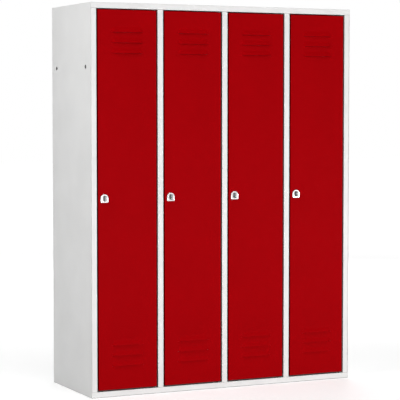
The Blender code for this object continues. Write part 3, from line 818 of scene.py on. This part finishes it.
def cam_mesh():
    """Flat cam that hangs from the spindle when the lock is open."""
    low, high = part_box("lock_cam_1")
    height = high.z - low.z
    outline = rounded_outline(CAM_WIDTH, height, CAM_WIDTH / 2, CAM_CORNER)
    cam = add_object("cam", mesh_from(slab(outline, CAM_FRONT, CAM_BACK), "cam"))
    cam.data.transform(Matrix.Translation((0, 0, CAM_WIDTH / 2 - height / 2)))
    round_edges(cam, CAM_EDGE, FINE_EDGE_STEPS)
    hole = square_bar(SPINDLE_SQUARE + 2 * SEAT, CAM_FRONT - CUT_MARGIN, CAM_BACK + CUT_MARGIN)
    return baked(cam, combine(cam, hole, "DIFFERENCE"))


def cam_screw_mesh():
    """Hexagon head on a washer, behind the cam."""
    washer_back = CAM_BACK + WASHER_THICKNESS
    head_ends = ((0, washer_back - SEAT, 0), (0, washer_back + SCREW_HEAD_HEIGHT, 0))
    bm = bmesh.new()
    rod(bm, SCREW_HEAD_RADIUS, *head_ends, sides=HEXAGON_SIDES)
    head = add_object("head", mesh_from(bm, "head"))
    round_edges(head, RAW_EDGE, FINE_EDGE_STEPS)
    washer = combine(head, rods(WASHER_RADIUS, [((0, CAM_BACK, 0), (0, washer_back, 0))]), "UNION")
    return baked(head, washer)


def dress_locks():
    housing = housing_mesh()
    nut = nut_mesh()
    grip = grip_mesh()
    cam = cam_mesh()
    screw = cam_screw_mesh()
    for number in range(1, COLUMNS + 1):
        lock_x, lock_z = lock_axis(number)
        place = (lock_x, FRONT_Y, lock_z)
        door = f"door_{number}"
        lock = f"lock_{number}"
        dress(f"lock_plate_{number}", housing, CHROME, door, [f"lock_housing_{number}"], place)
        dress(f"lock_clamp_nut_{number}", nut, ZINC, door, [f"lock_nut_{number}"], place)
        # The grip's dark metal is painted shade
        dress(f"lock_handle_{number}", grip, SHADE_DARK_METAL, lock, [f"lock_grip_{number}"], place)
        dress(f"lock_bolt_{number}", cam, ZINC, lock, [f"lock_cam_{number}"], place)
        dress(f"cam_screw_{number}", screw, ZINC, lock, location=place)


def paint_hinges():
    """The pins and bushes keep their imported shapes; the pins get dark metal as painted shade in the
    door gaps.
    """
    finishes = {"upper_hinge_pin": SHADE_DARK_METAL, "lower_hinge_pin": SHADE_DARK_METAL, "hinge_bush": NYLON}
    for number in range(1, COLUMNS + 1):
        for kind, material in finishes.items():
            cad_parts[f"{kind}_{number}"].material_slots[0].material = material


# Studio

def seen_directly(tree):
    """One for rays that show the backdrop itself: from the camera, in gloss and through glass."""
    path = add_node(tree, "ShaderNodeLightPath").outputs
    mirrored_too = calculated(tree, "MAXIMUM", path["Is Camera Ray"], path["Is Glossy Ray"])
    return calculated(tree, "MAXIMUM", mirrored_too, path["Is Transmission Ray"])


def mixed_shaders(tree, share, first, second):
    mix = add_node(tree, "ShaderNodeMixShader", inputs={"Fac": share})
    tree.links.new(first, mix.inputs[1])
    tree.links.new(second, mix.inputs[2])
    return mix.outputs["Shader"]


def make_world():
    world = bpy.data.worlds.new("studio")
    bpy.context.scene.world = world
    world.use_nodes = True
    tree = world.node_tree
    tree.nodes.clear()
    light = add_node(tree, "ShaderNodeBackground", inputs={"Color": WHITE, "Strength": AMBIENT})
    backdrop = add_node(tree, "ShaderNodeBackground", inputs={"Color": WHITE, "Strength": BACKDROP})
    surface = mixed_shaders(
        tree, seen_directly(tree), light.outputs["Background"], backdrop.outputs["Background"])
    add_node(tree, "ShaderNodeOutputWorld", inputs={"Surface": surface})


def make_floor():
    """Pale floor that shows white where it is lit, and keeps the object's shadow."""
    bm = bmesh.new()
    bmesh.ops.create_grid(bm, x_segments=1, y_segments=1, size=FLOOR_SIZE / 2)
    floor = add_object("studio_floor", mesh_from(bm, "studio_floor"))
    material = bpy.data.materials.new("studio_floor")
    material.use_nodes = True
    tree = material.node_tree
    tree.nodes.clear()
    pale = add_node(tree, "ShaderNodeBsdfDiffuse", inputs={"Color": FLOOR_COLOUR})
    place = add_node(tree, "ShaderNodeTexCoord").outputs["Object"]
    away = add_node(tree, "ShaderNodeVectorMath", {"operation": "LENGTH"}, {"Vector": place})
    strength = spread(
        tree, away.outputs["Value"], FLOOR_GLOW_NEAR, FLOOR_GLOW_FAR, start=FLOOR_NEAR, end=FLOOR_FAR)
    glow = add_node(tree, "ShaderNodeEmission", inputs={"Strength": strength})
    shown = add_node(tree, "ShaderNodeAddShader")
    tree.links.new(pale.outputs["BSDF"], shown.inputs[0])
    tree.links.new(glow.outputs["Emission"], shown.inputs[1])
    surface = mixed_shaders(tree, seen_directly(tree), pale.outputs["BSDF"], shown.outputs["Shader"])
    add_node(tree, "ShaderNodeOutputMaterial", inputs={"Surface": surface})
    floor.data.materials.append(material)


def make_lamps():
    for name, (place, width, power) in LAMPS.items():
        lamp = bpy.data.lights.new(name, "AREA")
        lamp.size = width
        lamp.energy = power
        holder = add_object(name, lamp)
        holder.location = place
        holder.rotation_euler = (LAMP_TARGET - Vector(place)).to_track_quat("-Z", "Y").to_euler()


def make_camera():
    lens = bpy.data.cameras.new("photo_camera")
    lens.lens = FOCAL_PIXELS / IMAGE_SIZE * lens.sensor_width
    camera = add_object("photo_camera", lens)
    camera.location = CAMERA_PLACE
    camera.rotation_euler = (math.radians(90) - CAMERA_PITCH, 0, -CAMERA_YAW)
    bpy.context.scene.camera = camera


dress_sides()
dress_top_and_floor()
dress_back()
dress_front_frame()
dress_partitions()
dress_shelves()
dress_coat_rails()
dress_doors()
dress_locks()
paint_hinges()

make_world()
make_floor()
make_lamps()
make_camera()
bpy.context.scene.view_settings.view_transform = "Standard"
